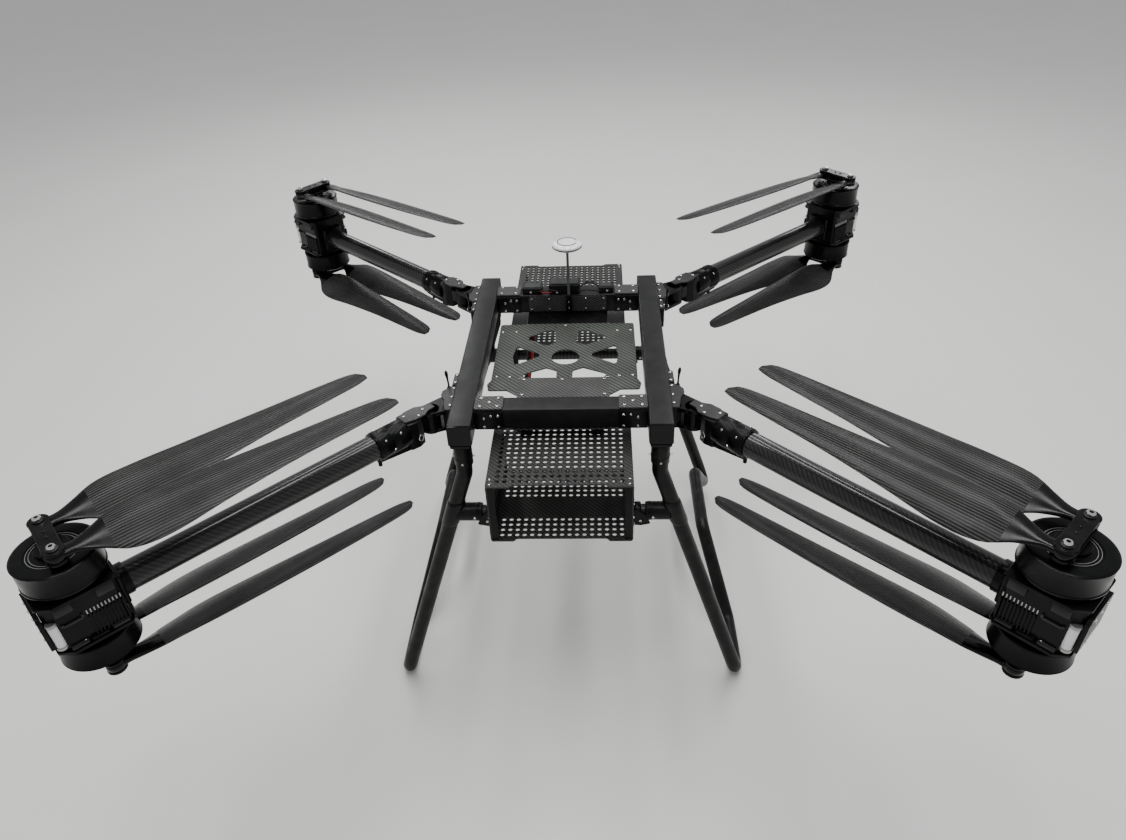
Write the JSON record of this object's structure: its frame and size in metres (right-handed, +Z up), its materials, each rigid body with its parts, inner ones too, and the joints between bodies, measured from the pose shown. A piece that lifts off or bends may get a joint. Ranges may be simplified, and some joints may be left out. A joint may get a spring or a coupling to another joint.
{
  "type": "coaxial multirotor drone",
  "caption": "Heavy-lift coaxial multirotor drone: H-frame, folding tube arms with paired rotors of folding carbon blades, tall skid landing gear and slung battery bays.",
  "frame": {"origin": "on the floor below the middle of the whole aircraft with its arms spread", "axes": "+Z up, -Y the front (the end with the smaller overhang of battery bay), +X to the aircraft's own left as it faces -Y"},
  "size_m": [1.6312, 1.5826, 0.8606],
  "materials": {
    "frame_black": "satin black over aluminium",
    "black_anodised": "machined and black anodised",
    "motor_black": "machined and black anodised, satin",
    "lever_black": "satin black",
    "carbon_plate": "greenish grey woven carbon fibre plate, satin",
    "battery_case": "perforated carbon fibre plate, satin",
    "carbon_tube": "black carbon fibre tube, satin gloss",
    "carbon_blade": "woven carbon fibre under clear gloss lacquer",
    "gear_black": "soft satin black tube covering",
    "module_black": "moulded, fine matt texture",
    "mast_black": "thin black carbon rod",
    "shell_white": "smooth white moulded shell",
    "cable_red": "silicone wire insulation"
  },
  "bodies": {
    "frame": {"left_rail": "frame_black", "right_rail": "frame_black", "front_beam": "frame_black", "rear_beam": "frame_black", "centre_plate": "carbon_plate", "front_battery_box": "battery_case", "rear_battery_box": "battery_case", "right_landing_gear": "gear_black", "left_landing_gear": "gear_black", "front_cross_tube": "carbon_tube", "rear_cross_tube": "carbon_tube", "flight_controller": "module_black", "receiver": "module_black", "position_mast": "mast_black", "position_puck": "shell_white", "power_lead": "cable_red", "front_left_bracket": "black_anodised", "front_right_bracket": "black_anodised", "rear_left_bracket": "black_anodised", "rear_right_bracket": "black_anodised"},
    "front_left_lever": {"front_left_clamp_lever": "lever_black"},
    "front_left_arm": {"front_left_knuckle": "black_anodised", "front_left_arm_tube": "carbon_tube", "front_left_motor_mount": "motor_black"},
    "front_left_upper_hub": {"front_left_upper_rotor": "black_anodised"},
    "front_left_upper_blade_a": {"front_left_upper_blade_a": "carbon_blade"},
    "front_left_upper_blade_b": {"front_left_upper_blade_b": "carbon_blade"},
    "front_left_lower_hub": {"front_left_lower_rotor": "black_anodised"},
    "front_left_lower_blade_a": {"front_left_lower_blade_a": "carbon_blade"},
    "front_left_lower_blade_b": {"front_left_lower_blade_b": "carbon_blade"},
    "front_right_lever": {"front_right_clamp_lever": "lever_black"},
    "front_right_arm": {"front_right_knuckle": "black_anodised", "front_right_arm_tube": "carbon_tube", "front_right_motor_mount": "motor_black"},
    "front_right_upper_hub": {"front_right_upper_rotor": "black_anodised"},
    "front_right_upper_blade_a": {"front_right_upper_blade_a": "carbon_blade"},
    "front_right_upper_blade_b": {"front_right_upper_blade_b": "carbon_blade"},
    "front_right_lower_hub": {"front_right_lower_rotor": "black_anodised"},
    "front_right_lower_blade_a": {"front_right_lower_blade_a": "carbon_blade"},
    "front_right_lower_blade_b": {"front_right_lower_blade_b": "carbon_blade"},
    "rear_left_lever": {"rear_left_clamp_lever": "lever_black"},
    "rear_left_arm": {"rear_left_knuckle": "black_anodised", "rear_left_arm_tube": "carbon_tube", "rear_left_motor_mount": "motor_black"},
    "rear_left_upper_hub": {"rear_left_upper_rotor": "black_anodised"},
    "rear_left_upper_blade_a": {"rear_left_upper_blade_a": "carbon_blade"},
    "rear_left_upper_blade_b": {"rear_left_upper_blade_b": "carbon_blade"},
    "rear_left_lower_hub": {"rear_left_lower_rotor": "black_anodised"},
    "rear_left_lower_blade_a": {"rear_left_lower_blade_a": "carbon_blade"},
    "rear_left_lower_blade_b": {"rear_left_lower_blade_b": "carbon_blade"},
    "rear_right_lever": {"rear_right_clamp_lever": "lever_black"},
    "rear_right_arm": {"rear_right_knuckle": "black_anodised", "rear_right_arm_tube": "carbon_tube", "rear_right_motor_mount": "motor_black"},
    "rear_right_upper_hub": {"rear_right_upper_rotor": "black_anodised"},
    "rear_right_upper_blade_a": {"rear_right_upper_blade_a": "carbon_blade"},
    "rear_right_upper_blade_b": {"rear_right_upper_blade_b": "carbon_blade"},
    "rear_right_lower_hub": {"rear_right_lower_rotor": "black_anodised"},
    "rear_right_lower_blade_a": {"rear_right_lower_blade_a": "carbon_blade"},
    "rear_right_lower_blade_b": {"rear_right_lower_blade_b": "carbon_blade"}
  },
  "joints": [
    {"name": "front_left_clamp_lever_turn", "type": "hinge", "parent": "frame", "child": "front_left_lever", "pos_m": [-0.236, -0.146, 0.692], "axis": [-1, 0, 0], "range_deg": [0, 80]},
    {"name": "front_left_arm_fold", "type": "hinge", "parent": "frame", "child": "front_left_arm", "pos_m": [-0.262, -0.233, 0.682], "axis": [0, 0, -1], "range_deg": [0, 100]},
    {"name": "front_left_upper_spin", "type": "hinge", "parent": "front_left_arm", "child": "front_left_upper_hub", "pos_m": [-0.737, -0.714, 0.8115], "axis": [0, 0, -1], "continuous": true},
    {"name": "front_left_upper_blade_a_fold", "type": "hinge", "parent": "front_left_upper_hub", "child": "front_left_upper_blade_a", "pos_m": [-0.70943, -0.74434, 0.8115], "axis": [0, 0, -1], "range_deg": [0, 90]},
    {"name": "front_left_upper_blade_b_fold", "type": "hinge", "parent": "front_left_upper_hub", "child": "front_left_upper_blade_b", "pos_m": [-0.76457, -0.68366, 0.8115], "axis": [0, 0, 1], "range_deg": [0, 90]},
    {"name": "front_left_lower_spin", "type": "hinge", "parent": "front_left_arm", "child": "front_left_lower_hub", "pos_m": [-0.737, -0.714, 0.5665], "axis": [0, 0, -1], "continuous": true},
    {"name": "front_left_lower_blade_a_fold", "type": "hinge", "parent": "front_left_lower_hub", "child": "front_left_lower_blade_a", "pos_m": [-0.70783, -0.74281, 0.5665], "axis": [0, 0, -1], "range_deg": [0, 90]},
    {"name": "front_left_lower_blade_b_fold", "type": "hinge", "parent": "front_left_lower_hub", "child": "front_left_lower_blade_b", "pos_m": [-0.76617, -0.68519, 0.5665], "axis": [0, 0, 1], "range_deg": [0, 90]},
    {"name": "front_right_clamp_lever_turn", "type": "hinge", "parent": "frame", "child": "front_right_lever", "pos_m": [0.236, -0.146, 0.692], "axis": [-1, 0, 0], "range_deg": [0, 80]},
    {"name": "front_right_arm_fold", "type": "hinge", "parent": "frame", "child": "front_right_arm", "pos_m": [0.262, -0.233, 0.682], "axis": [0, 0, 1], "range_deg": [0, 100]},
    {"name": "front_right_upper_spin", "type": "hinge", "parent": "front_right_arm", "child": "front_right_upper_hub", "pos_m": [0.737, -0.714, 0.8115], "axis": [0, 0, 1], "continuous": true},
    {"name": "front_right_upper_blade_a_fold", "type": "hinge", "parent": "front_right_upper_hub", "child": "front_right_upper_blade_a", "pos_m": [0.70828, -0.74326, 0.8115], "axis": [0, 0, 1], "range_deg": [0, 90]},
    {"name": "front_right_upper_blade_b_fold", "type": "hinge", "parent": "front_right_upper_hub", "child": "front_right_upper_blade_b", "pos_m": [0.76572, -0.68474, 0.8115], "axis": [0, 0, -1], "range_deg": [0, 90]},
    {"name": "front_right_lower_spin", "type": "hinge", "parent": "front_right_arm", "child": "front_right_lower_hub", "pos_m": [0.737, -0.714, 0.5665], "axis": [0, 0, 1], "continuous": true},
    {"name": "front_right_lower_blade_a_fold", "type": "hinge", "parent": "front_right_lower_hub", "child": "front_right_lower_blade_a", "pos_m": [0.70828, -0.74326, 0.5665], "axis": [0, 0, 1], "range_deg": [0, 90]},
    {"name": "front_right_lower_blade_b_fold", "type": "hinge", "parent": "front_right_lower_hub", "child": "front_right_lower_blade_b", "pos_m": [0.76572, -0.68474, 0.5665], "axis": [0, 0, -1], "range_deg": [0, 90]},
    {"name": "rear_left_clamp_lever_turn", "type": "hinge", "parent": "frame", "child": "rear_left_lever", "pos_m": [-0.236, 0.205, 0.692], "axis": [1, 0, 0], "range_deg": [0, 80]},
    {"name": "rear_left_arm_fold", "type": "hinge", "parent": "frame", "child": "rear_left_arm", "pos_m": [-0.262, 0.292, 0.682], "axis": [0, 0, -1], "range_deg": [-100, 0]},
    {"name": "rear_left_upper_spin", "type": "hinge", "parent": "rear_left_arm", "child": "rear_left_upper_hub", "pos_m": [-0.737, 0.714, 0.8115], "axis": [0, 0, -1], "continuous": true},
    {"name": "rear_left_upper_blade_a_fold", "type": "hinge", "parent": "rear_left_upper_hub", "child": "rear_left_upper_blade_a", "pos_m": [-0.71175, 0.7463, 0.8115], "axis": [0, 0, -1], "range_deg": [-90, 0]},
    {"name": "rear_left_upper_blade_b_fold", "type": "hinge", "parent": "rear_left_upper_hub", "child": "rear_left_upper_blade_b", "pos_m": [-0.76225, 0.6817, 0.8115], "axis": [0, 0, 1], "range_deg": [-90, 0]},
    {"name": "rear_left_lower_spin", "type": "hinge", "parent": "rear_left_arm", "child": "rear_left_lower_hub", "pos_m": [-0.737, 0.714, 0.5665], "axis": [0, 0, -1], "continuous": true},
    {"name": "rear_left_lower_blade_a_fold", "type": "hinge", "parent": "rear_left_lower_hub", "child": "rear_left_lower_blade_a", "pos_m": [-0.7079, 0.74288, 0.5665], "axis": [0, 0, -1], "range_deg": [-90, 0]},
    {"name": "rear_left_lower_blade_b_fold", "type": "hinge", "parent": "rear_left_lower_hub", "child": "rear_left_lower_blade_b", "pos_m": [-0.7661, 0.68512, 0.5665], "axis": [0, 0, 1], "range_deg": [-90, 0]},
    {"name": "rear_right_clamp_lever_turn", "type": "hinge", "parent": "frame", "child": "rear_right_lever", "pos_m": [0.236, 0.205, 0.692], "axis": [1, 0, 0], "range_deg": [0, 80]},
    {"name": "rear_right_arm_fold", "type": "hinge", "parent": "frame", "child": "rear_right_arm", "pos_m": [0.262, 0.292, 0.682], "axis": [0, 0, 1], "range_deg": [-100, 0]},
    {"name": "rear_right_upper_spin", "type": "hinge", "parent": "rear_right_arm", "child": "rear_right_upper_hub", "pos_m": [0.737, 0.714, 0.8115], "axis": [0, 0, 1], "continuous": true},
    {"name": "rear_right_upper_blade_a_fold", "type": "hinge", "parent": "rear_right_upper_hub", "child": "rear_right_upper_blade_a", "pos_m": [0.71042, 0.74521, 0.8115], "axis": [0, 0, 1], "range_deg": [-90, 0]},
    {"name": "rear_right_upper_blade_b_fold", "type": "hinge", "parent": "rear_right_upper_hub", "child": "rear_right_upper_blade_b", "pos_m": [0.76358, 0.68279, 0.8115], "axis": [0, 0, -1], "range_deg": [-90, 0]},
    {"name": "rear_right_lower_spin", "type": "hinge", "parent": "rear_right_arm", "child": "rear_right_lower_hub", "pos_m": [0.737, 0.714, 0.5665], "axis": [0, 0, 1], "continuous": true},
    {"name": "rear_right_lower_blade_a_fold", "type": "hinge", "parent": "rear_right_lower_hub", "child": "rear_right_lower_blade_a", "pos_m": [0.70846, 0.74343, 0.5665], "axis": [0, 0, 1], "range_deg": [-90, 0]},
    {"name": "rear_right_lower_blade_b_fold", "type": "hinge", "parent": "rear_right_lower_hub", "child": "rear_right_lower_blade_b", "pos_m": [0.76554, 0.68457, 0.5665], "axis": [0, 0, -1], "range_deg": [-90, 0]}
  ]
}
